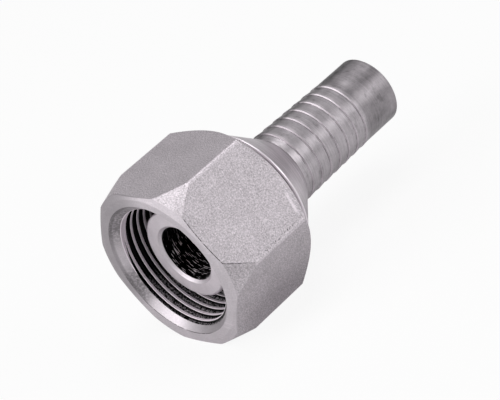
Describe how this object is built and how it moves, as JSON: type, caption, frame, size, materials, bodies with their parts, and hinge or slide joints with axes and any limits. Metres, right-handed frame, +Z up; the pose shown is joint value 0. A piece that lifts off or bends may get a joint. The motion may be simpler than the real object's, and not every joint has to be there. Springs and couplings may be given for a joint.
{
  "type": "hydraulic hose fitting",
  "caption": "Swivel female hydraulic hose fitting: a steel insert with a flat seat, a flared shoulder and a serrated hose tail, and a hexagon union nut that turns freely on it.",
  "frame": {"origin": "on the fitting's axis, in the plane of the insert's flat sealing face, which is also the reference point of the nut's thread", "axes": "+Y along the axis from the nut's mouth to the hose tail's tip, +Z up through the top flat of the hexagon, with the opposite flat resting on the ground"},
  "size_m": [0.0414, 0.0667, 0.036],
  "materials": {
    "nut_steel": "fine-grained bright zinc on forged and turned steel",
    "insert_steel": "turned steel with a dull zinc coat, faintly stained on the tail"
  },
  "bodies": {
    "insert": {"hose_insert": "insert_steel"},
    "nut": {"swivel_nut": "nut_steel"}
  },
  "joints": [
    {"name": "nut_swivel", "type": "hinge", "parent": "insert", "child": "nut", "pos_m": [0, 0, 0], "axis": [0, 1, 0], "continuous": true}
  ]
}
